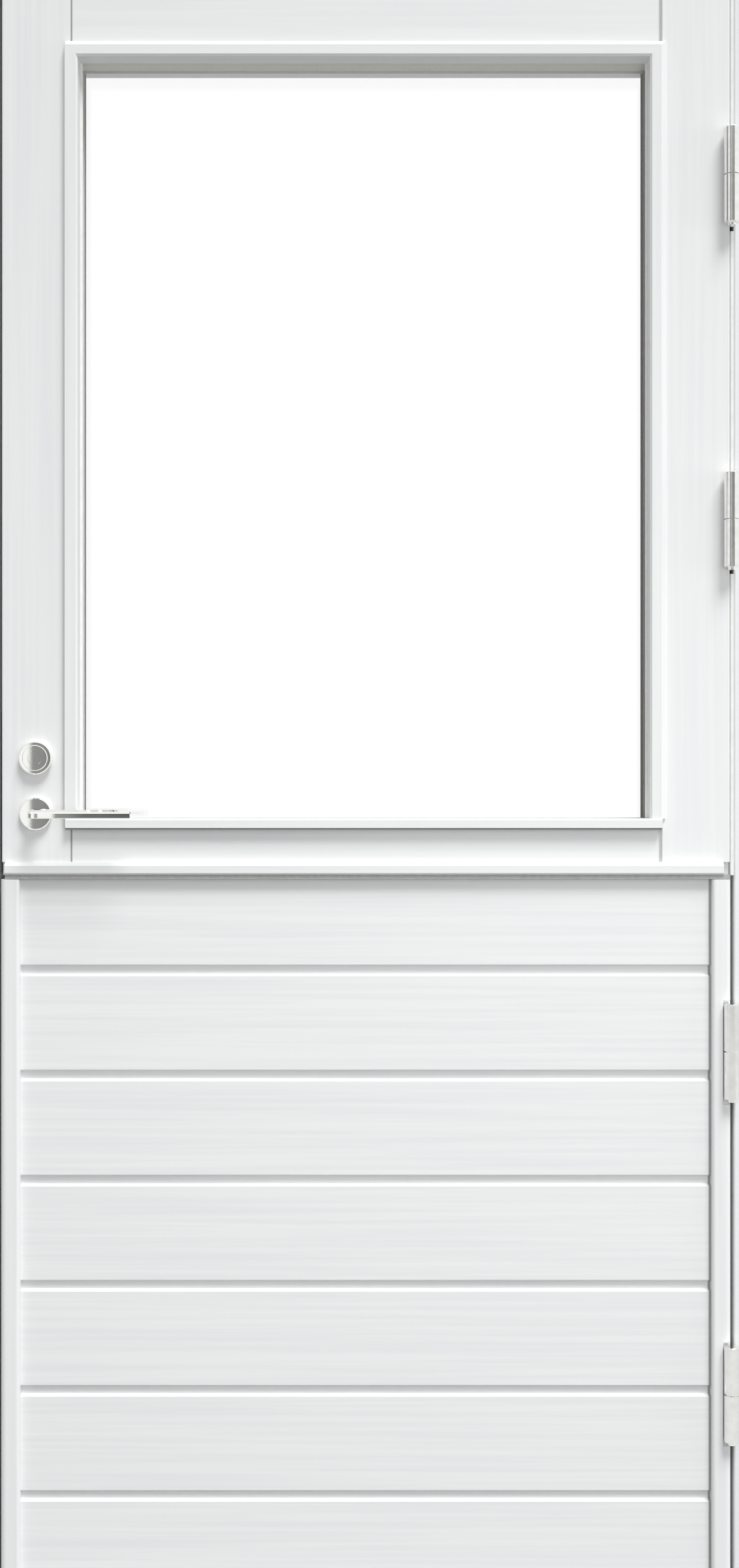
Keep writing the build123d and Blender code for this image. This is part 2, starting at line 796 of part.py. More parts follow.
# Ring round the lock cylinder, with a chamfered rim
with BuildPart() as cylinder_ring:
    with BuildSketch(front(0)):
        with Locations((handle_x, cylinder_height)):
            Circle(cylinder_ring_radius)
            Circle(cylinder_radius + cylinder_clearance, mode=Mode.SUBTRACT)
    extrude(amount=cylinder_ring_proud)
    outer_rim = cylinder_ring.edges().filter_by(GeomType.CIRCLE).group_by(Axis.Y)[0].sort_by(SortBy.RADIUS)[-1]
    chamfer(outer_rim, length=rose_chamfer)
save(cylinder_ring, "cylinder_ring")

# Lock cylinder through the stile, with the round core and its key slot
with BuildPart() as lock_cylinder:
    with BuildSketch(front(leaf_thickness)):
        with Locations((handle_x, cylinder_height)):
            Circle(cylinder_radius)
    extrude(amount=leaf_thickness + cylinder_proud)
    face_rim = lock_cylinder.edges().filter_by(GeomType.CIRCLE).group_by(Axis.Y)[0]
    chamfer(face_rim, length=cylinder_chamfer)
    with BuildSketch(front(-cylinder_proud)):
        with Locations((handle_x, cylinder_height)):
            Circle(cylinder_core_radius + core_gap)
            Circle(cylinder_core_radius, mode=Mode.SUBTRACT)
            Rectangle(keyhole_width, keyhole_height)
    extrude(amount=-bolt_recess, mode=Mode.SUBTRACT)
save(lock_cylinder, "lock_cylinder")


def make_rose(face_depth, direction, height, bore_radius, name):
    """A round plate on one face of the leaf, direction -1 outdoors and 1 indoors."""
    with BuildPart() as rose:
        with BuildSketch(front(face_depth)):
            with Locations((handle_x, height)):
                Circle(rose_radius)
                Circle(bore_radius, mode=Mode.SUBTRACT)
        extrude(amount=-direction * rose_thickness)
        rims = rose.edges().filter_by(GeomType.CIRCLE)
        outer_rim = rims.group_by(Axis.Y)[0 if direction < 0 else -1].sort_by(SortBy.RADIUS)[-1]
        chamfer(outer_rim, length=rose_chamfer)
    save(rose, name)


make_rose(0, -1, handle_height, neck_radius + neck_clearance, "outer_rose")
make_rose(leaf_thickness, 1, handle_height, neck_radius + neck_clearance, "inner_rose")

# Thumb turn indoors on its own round plate, in line with the lock cylinder
with BuildPart() as thumb_turn:
    with BuildSketch(front(leaf_thickness)):
        with Locations((handle_x, cylinder_height)):
            Circle(rose_radius)
    extrude(amount=-rose_thickness)
    chamfer(thumb_turn.edges().filter_by(GeomType.CIRCLE).group_by(Axis.Y)[-1], length=rose_chamfer)
    with BuildSketch(front(leaf_thickness + rose_thickness)):
        with Locations((handle_x, cylinder_height)):
            SlotOverall(turn_length, turn_width, rotation=90)
    extrude(amount=-(turn_reach - rose_thickness))
save(thumb_turn, "thumb_turn")


def make_lever(face_depth, direction, grip_length, name):
    """A lever: a round neck out of the rose, and a bar with a bevelled top bent to the hinge side."""
    with BuildPart() as lever:
        bend = grip_bend + grip_thickness / 2
        slant = bend * 0.5 ** 0.5
        start, bend_start, grip_line = [
            face_depth + direction * depth
            for depth in (
                neck_length - grip_thickness,
                neck_projection - grip_thickness / 2 - bend,
                neck_projection - grip_thickness / 2,
            )
        ]
        with BuildLine(Plane.XY.offset(handle_height)) as path:
            Line((handle_x, start), (handle_x, bend_start))
            ThreePointArc(
                (handle_x, bend_start),
                (handle_x + bend - slant, bend_start + direction * slant),
                (handle_x + bend, grip_line),
            )
            Line((handle_x + bend, grip_line), (handle_x + grip_length, grip_line))
        half = grip_thickness / 2
        foot = handle_height - grip_height / 2
        shoulder = foot + grip_foot_chamfer + grip_face_height
        side_points = [
            (half - grip_foot_chamfer, foot),
            (half, foot + grip_foot_chamfer),
            (half, shoulder),
            (half - grip_shoulder_depth, shoulder + grip_shoulder_height),
            (grip_crown_width / 2, foot + grip_height),
        ]
        with BuildSketch(front(start)):
            with BuildLine():
                right = [(handle_x + x, z) for x, z in side_points]
                left = [(handle_x - x, z) for x, z in reversed(side_points)]
                Polyline(*right, *left, close=True)
            make_face()
        sweep(path=path.line)
        chamfer(lever.faces().sort_by(Axis.X)[-1].edges(), length=grip_end_chamfer)
        with BuildSketch(front(face_depth + direction * neck_inset)):
            with Locations((handle_x, handle_height)):
                Circle(neck_radius)
        extrude(amount=-direction * (neck_length - neck_inset))
        with BuildSketch(front(face_depth + direction * neck_inset)):
            with Locations((handle_x, handle_height)):
                Rectangle(spindle_size, spindle_size)
        extrude(amount=-direction * spindle_socket, mode=Mode.SUBTRACT)
    save(lever, name)


make_lever(0, -1, outer_grip_length, "outer_lever")
make_lever(leaf_thickness, 1, inner_grip_length, "inner_lever")

# Square spindle through the lock, seated in both levers
with BuildPart() as lever_spindle:
    with BuildSketch(front(leaf_thickness + neck_inset + spindle_socket)):
        with Locations((handle_x, handle_height)):
            Rectangle(spindle_size, spindle_size)
    extrude(amount=leaf_thickness + 2 * (neck_inset + spindle_socket))
save(lever_spindle, "lever_spindle")


def make_board(number):
    """A cladding board: tongue, recessed band and chamfer on top, groove below."""
    joint_above = lower_top + board_top_cut - (number - 1) * board_pitch
    joint_below = joint_above - board_pitch
    face = board_setback
    back = core_front
    band = face + band_depth
    tongue_front = band + (back - band - tongue_thickness) / 2
    tongue_back = tongue_front + tongue_thickness
    with BuildPart() as board:
        with BuildSketch(Plane.YZ.offset(-board_half)):
            with BuildLine():
                Polyline(
                    (face + board_foot_chamfer, joint_below),
                    (face, joint_below + board_foot_chamfer),
                    (face, joint_above - band_height - board_chamfer),
                    (band, joint_above - band_height),
                    (band, joint_above - tongue_play),
                    (tongue_front, joint_above - tongue_play),
                    (tongue_front, joint_above + tongue_height - tongue_play),
                    (tongue_back, joint_above + tongue_height - tongue_play),
                    (tongue_back, joint_above - tongue_play),
                    (back, joint_above - tongue_play),
                    (back, joint_below),
                    (tongue_back, joint_below),
                    (tongue_back, joint_below + tongue_height),
                    (tongue_front, joint_below + tongue_height),
                    (tongue_front, joint_below),
                    close=True,
                )
            make_face()
        extrude(amount=2 * board_half)
        if number == 1:
            split(bisect_by=Plane.XY.offset(lower_top), keep=Keep.BOTTOM)
        if number == board_count:
            split(bisect_by=Plane.XY.offset(leaf_bottom), keep=Keep.TOP)
    save(board, f"board_{number}")


for number in range(1, board_count + 1):
    make_board(number)


def make_batten(side, name):
    """An upright batten beside the boards, rounded along its front."""
    with BuildPart() as batten:
        middle, height = span(leaf_bottom, lower_top)
        batten_middle, depth = span(-batten_proud, core_front)
        with Locations((side * (board_half + batten_width / 2), batten_middle, middle)):
            Box(batten_width, depth, height)
        if side < 0:
            split(bisect_by=latch_edge, keep=Keep.BOTTOM)
        ends = batten.edges().filter_by(Axis.Z).group_by(Axis.Y)[0].sort_by(Axis.X)
        outer_edge = ends[-1] if side > 0 else ends[0]
        fillet(outer_edge, radius=batten_outer_round)
        ends = batten.edges().filter_by(Axis.Z).group_by(Axis.Y)[0].sort_by(Axis.X)
        inner_edge = ends[0] if side > 0 else ends[-1]
        fillet(inner_edge, radius=batten_inner_round)
        if side > 0:
            cut_flag_recesses(lower_hinges)
            cut_hinge_notches(lower_hinges)
    save(batten, name)


make_batten(1, "hinge_batten")
make_batten(-1, "latch_batten")


def make_lower_stile(side, name):
    """A stile behind the boards of the lower leaf."""
    with BuildPart() as stile:
        middle, height = span(leaf_bottom, lower_top)
        stile_middle, depth = span(core_front, core_back)
        with Locations((side * (leaf_half - lower_stile_width / 2), stile_middle, middle)):
            Box(lower_stile_width, depth, height)
        if side < 0:
            split(bisect_by=latch_edge, keep=Keep.BOTTOM)
        if side > 0:
            cut_flag_recesses(lower_hinges)
    save(stile, name)


make_lower_stile(1, "lower_hinge_stile")
make_lower_stile(-1, "lower_latch_stile")


def make_lower_rail(low, high, name):
    """A rail between the stiles of the lower leaf."""
    with BuildPart() as rail:
        middle, height = span(low, high)
        rail_middle, depth = span(core_front, core_back)
        with Locations((0, rail_middle, middle)):
            Box(2 * (leaf_half - lower_stile_width), depth, height)
    save(rail, name)


make_lower_rail(lower_top - lower_rail_height, lower_top, "lower_top_rail")
make_lower_rail(leaf_bottom, leaf_bottom + lower_rail_height, "lower_bottom_rail")

# Smooth panel that closes the lower leaf indoors
with BuildPart() as lower_inner_panel:
    middle, height = span(leaf_bottom, lower_top)
    panel_middle, depth = span(core_back, leaf_thickness)
    with Locations((0, panel_middle, middle)):
        Box(2 * leaf_half, depth, height)
    split(bisect_by=latch_edge, keep=Keep.BOTTOM)
save(lower_inner_panel, "lower_inner_panel")
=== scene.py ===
import json
import math
import bmesh
import bpy
from mathutils import Matrix, Vector


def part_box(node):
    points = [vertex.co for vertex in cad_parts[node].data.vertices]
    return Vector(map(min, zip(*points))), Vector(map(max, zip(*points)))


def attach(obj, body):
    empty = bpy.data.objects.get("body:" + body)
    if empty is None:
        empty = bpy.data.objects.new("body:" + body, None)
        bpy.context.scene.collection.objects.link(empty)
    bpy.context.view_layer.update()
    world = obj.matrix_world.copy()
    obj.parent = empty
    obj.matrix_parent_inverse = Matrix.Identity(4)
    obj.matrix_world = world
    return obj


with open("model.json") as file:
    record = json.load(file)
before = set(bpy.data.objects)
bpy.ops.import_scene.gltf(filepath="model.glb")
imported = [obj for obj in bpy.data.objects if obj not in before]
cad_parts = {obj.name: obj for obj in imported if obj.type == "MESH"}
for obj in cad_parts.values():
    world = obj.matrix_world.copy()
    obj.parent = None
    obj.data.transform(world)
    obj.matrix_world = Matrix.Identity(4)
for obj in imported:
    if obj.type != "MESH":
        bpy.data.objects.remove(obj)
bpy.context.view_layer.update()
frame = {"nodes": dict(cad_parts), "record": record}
bpy.ops.object.select_all(action="DESELECT")

# Frame: two jambs and a head of planed pine with a rebate for the leaves, painted white.
# The opaque satin paint fills the pores, so the grain shows only as faint long ridges.
MM = 0.001
PAINT_WHITE = "#EDEEEE"
PAINT_SHADE = "#E9EAEB"
PAINT_IOR = 1.5
GRAIN_WIDTH = 7 * MM
GRAIN_LENGTH = 420 * MM
HAIR_WIDTH = 1.6 * MM
HAIR_LENGTH = 160 * MM
HAIR_HEIGHT = 0.12 * MM


def linear(colour):
    """An sRGB hex colour as the linear RGBA that a socket takes."""
    parts = [int(colour[i:i + 2], 16) / 255 for i in (1, 3, 5)]
    return tuple(p / 12.92 if p <= 0.04045 else ((p + 0.055) / 1.055) ** 2.4 for p in parts) + (1.0,)


def add_node(tree, kind, settings=None, links=None):
    """Add a shader node, with its settings and its links; a socket goes by its name or number."""
    node = tree.nodes.new(kind)
    for key, value in (settings or {}).items():
        if key == "stops":
            ramp = node.color_ramp.elements
            while len(ramp) < len(value):
                ramp.new(1.0)
            for stop, (position, colour) in zip(ramp, value):
                stop.position = position
                stop.color = colour
        elif isinstance(key, int) or key in node.inputs:
            node.inputs[key].default_value = value
        else:
            setattr(node, key, value)
    for key, output in (links or {}).items():
        tree.links.new(output, node.inputs[key])
    return node


def new_material(name, colour, roughness, metallic=0.0, ior=1.5):
    """A material with one Principled shader, and the Object coordinates its patterns read."""
    material = bpy.data.materials.new(name)
    material.use_nodes = True
    tree = material.node_tree
    shader = tree.nodes["Principled BSDF"]
    shader.inputs["Base Color"].default_value = linear(colour)
    shader.inputs["Roughness"].default_value = roughness
    shader.inputs["Metallic"].default_value = metallic
    shader.inputs["IOR"].default_value = ior
    place = add_node(tree, "ShaderNodeTexCoord").outputs["Object"]
    return material, tree, shader, place


def streaks(tree, place, along, width, length, detail=3.0):
    """Long streaks of noise that run along one axis of the door set."""
    scale = [1 / width] * 3
    scale["XYZ".index(along)] = 1 / length
    stretched = add_node(tree, "ShaderNodeMapping", {"Scale": scale}, {"Vector": place})
    return add_node(
        tree,
        "ShaderNodeTexNoise",
        {"Scale": 1.0, "Detail": detail, "Roughness": 0.55, "Distortion": 0.15},
        {"Vector": stretched.outputs["Vector"]},
    ).outputs["Fac"]


def painted_timber(name, along, light=PAINT_WHITE, shade=PAINT_SHADE, hair_strength=0.18):
    """White satin paint on planed timber whose grain runs along X or Z."""
    material, tree, shader, place = new_material(name, light, 0.42, ior=PAINT_IOR)
    grain = streaks(tree, place, along, GRAIN_WIDTH, GRAIN_LENGTH)
    hairs = streaks(tree, place, along, HAIR_WIDTH, HAIR_LENGTH, detail=4.0)
    tone = add_node(
        tree,
        "ShaderNodeValToRGB",
        {"stops": [(0.32, linear(shade)), (0.62, linear(light))]},
        {"Fac": grain},
    )
    sheen = add_node(
        tree,
        "ShaderNodeMapRange",
        {"From Min": 0.3, "From Max": 0.7, "To Min": 0.38, "To Max": 0.5},
        {"Value": grain},
    )
    ridges = add_node(
        tree,
        "ShaderNodeBump",
        {"Strength": hair_strength, "Distance": HAIR_HEIGHT},
        {"Height": hairs},
    )
    tree.links.new(tone.outputs["Color"], shader.inputs["Base Color"])
    tree.links.new(sheen.outputs["Result"], shader.inputs["Roughness"])
    tree.links.new(ridges.outputs["Normal"], shader.inputs["Normal"])
    return material


def dress(material, *names):
    """Put a material on CAD nodes in place of their plain one."""
    for name in names:
        for slot in frame["nodes"][name].material_slots:
            slot.material = material


upright_paint = painted_timber("painted_pine_upright", "Z")
level_paint = painted_timber("painted_pine_level", "X")
dress(upright_paint, "hinge_jamb", "latch_jamb")
dress(level_paint, "frame_head")

# Caps over the screws that hold the jambs to the wall: discs of white polyamide, moulded with a
# thin rim round a shallow dish and pressed into the screw holes. The mould leaves a dull skin.
CAP_RADIUS = 6.2 * MM
CAP_HEIGHT = 1.2 * MM
CAP_ROUND = 0.5 * MM
CAP_RIM = 0.25 * CAP_RADIUS
CAP_SLOPE = 0.3 * CAP_RADIUS
CAP_DISH = 0.3 * CAP_HEIGHT
MOULD_GRAIN = 0.8 * MM
MOULD_DEPTH = 0.05 * MM
TOUCH = 0.001 * MM
FACING = 0.9
SMOOTHED_BEND = math.radians(35)


def pick(piece, kind, chosen):
    """Open a mesh for editing with only the faces or edges that a test chooses selected."""
    bpy.context.view_layer.objects.active = piece
    bpy.ops.object.mode_set(mode="EDIT")
    bpy.ops.mesh.select_mode(type=kind)
    bpy.ops.mesh.select_all(action="DESELECT")
    mesh = bmesh.from_edit_mesh(piece.data)
    for item in {"FACE": mesh.faces, "EDGE": mesh.edges}[kind]:
        item.select_set(bool(chosen(item)))
    bmesh.update_edit_mesh(piece.data)


def settle(piece, name, material):
    """Leave edit mode, put the piece's place into its mesh, name it and give it its material."""
    bpy.ops.object.mode_set(mode="OBJECT")
    bpy.ops.object.select_all(action="DESELECT")
    piece.select_set(True)
    bpy.context.view_layer.objects.active = piece
    bpy.ops.object.transform_apply(location=True, rotation=True, scale=True)
    bpy.ops.object.shade_smooth_by_angle(angle=SMOOTHED_BEND)
    piece.name = name
    piece.data.materials.clear()
    piece.data.materials.append(material)
    piece.select_set(False)
    return piece


def copy_to(pattern, name, place, facing, body):
    """Copy a piece modelled at the origin, facing +Z, to a place where it faces another way."""
    piece = pattern.copy()
    piece.data = pattern.data.copy()
    turn = Vector(facing).to_track_quat("Z", "Y").to_matrix().to_4x4()
    piece.data.transform(Matrix.Translation(place) @ turn)
    piece.name = name
    bpy.context.scene.collection.objects.link(piece)
    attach(piece, body)
    return piece


def put_away(pattern):
    """Remove a pattern piece when all its copies are in place."""
    bpy.data.objects.remove(pattern)


def on_cap_rim(edge):
    """Whether an edge lies on the round top edge of the cap."""
    return all(v.co.z > CAP_HEIGHT / 2 - TOUCH and v.co.xy.length > CAP_RADIUS - TOUCH for v in edge.verts)


cap_plastic, tree, shader, place = new_material("white_polyamide", "#E9E9E7", 0.4, ior=1.53)
mould_skin = add_node(
    tree, "ShaderNodeTexNoise", {"Scale": 1 / MOULD_GRAIN, "Detail": 2.0}, {"Vector": place}
)
skin_bump = add_node(
    tree, "ShaderNodeBump", {"Strength": 0.1, "Distance": MOULD_DEPTH}, {"Height": mould_skin.outputs["Fac"]}
)
tree.links.new(skin_bump.outputs["Normal"], shader.inputs["Normal"])

bpy.ops.mesh.primitive_cylinder_add(
    vertices=32, radius=CAP_RADIUS, depth=CAP_HEIGHT, location=(0, 0, CAP_HEIGHT / 2)
)
cap = bpy.context.object
pick(cap, "FACE", lambda face: face.normal.z > FACING)
bpy.ops.mesh.inset(thickness=CAP_RIM)
bpy.ops.mesh.inset(thickness=CAP_SLOPE, depth=-CAP_DISH)
pick(cap, "EDGE", on_cap_rim)
bpy.ops.mesh.bevel(offset=CAP_ROUND, segments=3)
settle(cap, "cap_pattern", cap_plastic)
cap_count = 0
for mount in frame["record"]["mounts"]:
    if mount["kind"] == "bolt_pattern":
        side = mount["axis"][0]
        rebate_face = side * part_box("frame_head")[1].x
        for end in (-1, 1):
            cap_count += 1
            height = mount["pos_m"][2] + end * mount["dims"]["spacing_y_mm"] * MM / 2
            spot = (rebate_face, mount["pos_m"][1], height)
            copy_to(cap, f"fixing_cap_{cap_count}", spot, (-side, 0, 0), "frame")
put_away(cap)

# Threshold: an oiled oak bar with a raised back, housed between the jambs. The oil leaves the
# grain open and brown, with darker pores in long dashes.
RING_WIDTH = 9 * MM
RING_LENGTH = 300 * MM
PORE_WIDTH = 0.9 * MM
PORE_LENGTH = 14 * MM
PORE_DEPTH = 0.2 * MM
oak, tree, shader, place = new_material("oiled_oak", "#7A5433", 0.55, ior=1.47)
figure = streaks(tree, place, "X", RING_WIDTH, RING_LENGTH, detail=5.0)
pores = streaks(tree, place, "X", PORE_WIDTH, PORE_LENGTH, detail=2.0)
figure_tone = add_node(
    tree,
    "ShaderNodeValToRGB",
    {"stops": [(0.25, linear("#5E3F25")), (0.5, linear("#805A38")), (0.75, linear("#9A7048"))]},
    {"Fac": figure},
)
pore_tone = add_node(
    tree,
    "ShaderNodeValToRGB",
    {"stops": [(0.36, linear("#5A4330")), (0.44, linear("#FFFFFF"))]},
    {"Fac": pores},
)
oak_tone = add_node(
    tree,
    "ShaderNodeMix",
    {"data_type": "RGBA", "blend_type": "MULTIPLY", "Factor": 0.8},
    {6: figure_tone.outputs["Color"], 7: pore_tone.outputs["Color"]},
)
tree.links.new(oak_tone.outputs[2], shader.inputs["Base Color"])
pore_bump = add_node(tree, "ShaderNodeBump", {"Strength": 0.3, "Distance": PORE_DEPTH}, {"Height": pores})
tree.links.new(pore_bump.outputs["Normal"], shader.inputs["Normal"])
dress(oak, "threshold")

# Nosing: an extruded aluminium profile, natural anodised, screwed down over the front of the
# threshold. Extrusion leaves fine lines along it.
DIE_LINE_WIDTH = 0.7 * MM
DIE_LINE_LENGTH = 500 * MM
DIE_LINE_DEPTH = 0.05 * MM
anodised, tree, shader, place = new_material("anodised_aluminium", "#B9BBBD", 0.38, metallic=1.0)
die_lines = streaks(tree, place, "X", DIE_LINE_WIDTH, DIE_LINE_LENGTH)
die_tone = add_node(
    tree,
    "ShaderNodeValToRGB",
    {"stops": [(0.3, linear("#AEB0B2")), (0.7, linear("#C3C5C7"))]},
    {"Fac": die_lines},
)
die_bump = add_node(
    tree, "ShaderNodeBump", {"Strength": 0.12, "Distance": DIE_LINE_DEPTH}, {"Height": die_lines}
)
tree.links.new(die_tone.outputs["Color"], shader.inputs["Base Color"])
tree.links.new(die_bump.outputs["Normal"], shader.inputs["Normal"])
dress(anodised, "threshold_nosing")

# Hinges and small ironmongery: steel, turned and pressed, then bright zinc plated. The plating
# mirrors the room softly, with faint cloudy patches, and the turned barrels show fine rings.
CLOUD_SIZE = 9 * MM
TURNED_REACH = 30 * MM
TURNED_PITCH = 0.5 * MM
TURNED_DEPTH = 0.03 * MM
zinc, tree, shader, place = new_material("zinc_plated_steel", "#F0F0ED", 0.13, metallic=1.0)
cloud = add_node(tree, "ShaderNodeTexNoise", {"Scale": 1 / CLOUD_SIZE, "Detail": 3.0}, {"Vector": place})
cloud_tone = add_node(
    tree,
    "ShaderNodeValToRGB",
    {"stops": [(0.3, linear("#EAEAE7")), (0.7, linear("#F5F5F2"))]},
    {"Fac": cloud.outputs["Fac"]},
)
turned = streaks(tree, place, "Z", TURNED_REACH, TURNED_PITCH)
turned_bump = add_node(
    tree, "ShaderNodeBump", {"Strength": 0.05, "Distance": TURNED_DEPTH}, {"Height": turned}
)
tree.links.new(cloud_tone.outputs["Color"], shader.inputs["Base Color"])
tree.links.new(turned_bump.outputs["Normal"], shader.inputs["Normal"])
hinge_nodes = [f"{half}_hinge_{number}" for number in (1, 2, 3, 4) for half in ("frame", "leaf")]
dress(zinc, "strike_plate", "lock_faceplate", *hinge_nodes)

# Screws with low heads and a cross recess, pressed and zinc plated. Three hold each hinge flag
# in the edge of a leaf or jamb and five hold the nosing; four more are for the lock.
SCREW_RADIUS = 4.0 * MM
SCREW_HEIGHT = 0.9 * MM
SCREW_ROUND = 0.4 * MM
RECESS_WIDTH = 1.1 * MM
RECESS_LENGTH = 4.6 * MM
RECESS_DEPTH = 0.7 * MM
RECESS_TAPER = (0.8, 0.7, 1)
FLAG_GAP = 2 * MM
LEAF_FLAG_DROP = 59.5 * MM
FRAME_FLAG_RISE = 4 * MM
FLAG_SCREWS = ((12, 14), (28, 29.75), (12, 45.5))
NOSING_SCREWS = 5
NOSING_SCREW_DEPTH = 40 * MM
NOSING_FALL = 0.024
NOSING_SINK = 0.7 * MM
bpy.ops.mesh.primitive_cylinder_add(
    vertices=28, radius=SCREW_RADIUS, depth=SCREW_HEIGHT, location=(0, 0, SCREW_HEIGHT / 2)
)
screw = bpy.context.object
pick(screw, "EDGE", lambda edge: all(v.co.z > SCREW_HEIGHT / 2 - TOUCH for v in edge.verts))
bpy.ops.mesh.bevel(offset=SCREW_ROUND, segments=3)
settle(screw, "screw_pattern", zinc)
for turn in (0, math.pi / 2):
    bpy.ops.mesh.primitive_cube_add(size=1, location=(0, 0, SCREW_HEIGHT), rotation=(0, 0, turn))
    slot_cutter = bpy.context.object
    slot_cutter.scale = (RECESS_LENGTH, RECESS_WIDTH, 2 * RECESS_DEPTH)
    pick(slot_cutter, "FACE", lambda face: face.normal.z < -FACING)
    bpy.ops.transform.resize(value=RECESS_TAPER)
    settle(slot_cutter, "recess_cutter", zinc)
    cut = screw.modifiers.new("recess", "BOOLEAN")
    cut.object = slot_cutter
    cut.operation = "DIFFERENCE"
    bpy.context.view_layer.objects.active = screw
    bpy.ops.object.modifier_apply(modifier=cut.name)
    bpy.data.objects.remove(slot_cutter)
# The leaf's flags face the jamb and the frame's flags face the leaf. Each screw has its depth
# from the front of the leaf and its height over the foot of its flag, in millimetres.
for number in (1, 2, 3, 4):
    level = "upper" if number < 3 else "lower"
    leaf_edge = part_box(f"{level}_hinge_stile")[1].x
    frame_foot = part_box(f"frame_hinge_{number}")[0].z + FRAME_FLAG_RISE
    leaf_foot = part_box(f"leaf_hinge_{number}")[1].z - LEAF_FLAG_DROP
    for half, body, face_x, facing, foot in (
        ("frame", "frame", leaf_edge + FLAG_GAP, (-1, 0, 0), frame_foot),
        ("leaf", f"{level}_leaf", leaf_edge, (1, 0, 0), leaf_foot),
    ):
        for order, (depth, height) in enumerate(FLAG_SCREWS, start=1):
            spot = (face_x, depth * MM, foot + height * MM)
            name = f"{half}_hinge_{number}_screw_{order}"
            copy_to(screw, name, spot, facing, body)
nosing_low, nosing_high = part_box("threshold_nosing")
for number in range(NOSING_SCREWS):
    across = nosing_low.x + (nosing_high.x - nosing_low.x) * (number + 0.5) / NOSING_SCREWS
    spot = (across, NOSING_SCREW_DEPTH, nosing_high.z - NOSING_SINK)
    copy_to(screw, f"nosing_screw_{number + 1}", spot, (0, -NOSING_FALL, 1), "frame")

# Seals: a rubber profile in the groove of the stop and a strip between the leaves, both mottled
# grey by the bloom that comes out of rubber, and soft silicone lips, a white one beside the
# upper leaf and a grey one on the weather strip, whose grey is painted shade under the strip.
BLOOM_SIZE = 4 * MM
BLOOM_DEPTH = 0.1 * MM
LIP_WAVE = 15 * MM
SEAL_MOTTLE_SIZE = 6 * MM
rubber, tree, shader, place = new_material("grey_seal_rubber", "#4A4A49", 0.7, ior=1.52)
bloom = add_node(tree, "ShaderNodeTexNoise", {"Scale": 1 / BLOOM_SIZE, "Detail": 3.0}, {"Vector": place})
bloom_tone = add_node(
    tree,
    "ShaderNodeValToRGB",
    {"stops": [(0.3, linear("#434342")), (0.7, linear("#555554"))]},
    {"Fac": bloom.outputs["Fac"]},
)
bloom_bump = add_node(
    tree, "ShaderNodeBump", {"Strength": 0.15, "Distance": BLOOM_DEPTH}, {"Height": bloom.outputs["Fac"]}
)
tree.links.new(bloom_tone.outputs["Color"], shader.inputs["Base Color"])
tree.links.new(bloom_bump.outputs["Normal"], shader.inputs["Normal"])
dress(rubber, "frame_seal", "meeting_seal")
silicone, tree, shader, place = new_material("white_silicone", "#F0F0EE", 0.5, ior=1.43)
lip_wave = add_node(tree, "ShaderNodeTexNoise", {"Scale": 1 / LIP_WAVE, "Detail": 2.0}, {"Vector": place})
lip_tone = add_node(
    tree,
    "ShaderNodeValToRGB",
    {"stops": [(0.3, linear("#ECECEA")), (0.7, linear("#F4F4F2"))]},
    {"Fac": lip_wave.outputs["Fac"]},
)
tree.links.new(lip_tone.outputs["Color"], shader.inputs["Base Color"])
dress(silicone, "hinge_gap_seal")
# The weather strip's lip is grey as painted shade, with a faint random mottle.
shade_grey_silicone, tree, shader, place = new_material("shade_grey_silicone", "#A9A9A8", 0.55, ior=1.43)
seal_mottle = add_node(tree, "ShaderNodeTexNoise", {"Scale": 1 / SEAL_MOTTLE_SIZE, "Detail": 3.0}, {"Vector": place})
seal_mottle_tone = add_node(
    tree,
    "ShaderNodeValToRGB",
    {"stops": [(0.3, linear("#A2A2A1")), (0.7, linear("#B0B0AF"))]},
    {"Fac": seal_mottle.outputs["Fac"]},
)
tree.links.new(seal_mottle_tone.outputs["Color"], shader.inputs["Base Color"])
dress(shade_grey_silicone, "strip_seal")

# Upper leaf: stiles and rails of laminated pine, jointed with a small chamfer on each side of
# the seam, and painted like the frame. The grain of the rails runs level, and painted shade
# greys the paint along the upright joints, where the chamfered seams lie in shade.
leaf_upright_joint_shade = painted_timber("painted_leaf_upright_joint_shade", "Z")
leaf_level_joint_shade = painted_timber("painted_leaf_level_joint_shade", "X")


def painted_shade_band(material, axis, middle, reach, painted_shade_tone):
    """Paint shade between two planes across an axis: a grey band where a joint or an edge lies in shade."""
    tree = material.node_tree
    shader = tree.nodes["Principled BSDF"]
    spot = add_node(tree, "ShaderNodeTexCoord").outputs["Object"]
    along = add_node(tree, "ShaderNodeSeparateXYZ", {}, {"Vector": spot}).outputs[axis]
    in_painted_shade = add_node(tree, "ShaderNodeMath", {"operation": "COMPARE", 1: middle, 2: reach}, {0: along})
    paint_tone = shader.inputs["Base Color"].links[0].from_socket
    blend = add_node(
        tree,
        "ShaderNodeMix",
        {"data_type": "RGBA", 7: linear(painted_shade_tone)},
        {"Factor": in_painted_shade.outputs["Value"], 6: paint_tone},
    )
    tree.links.new(blend.outputs[2], shader.inputs["Base Color"])


# Each joint's place across the leaf and half its width, in millimetres, and the tone of its painted shade.
JOINT_SHADES = ((-375.3, 1.3, "#B4B4B3"), (374.6, 1.2, "#C2C2C1"), (377.0, 1.2, "#D8D8D8"))
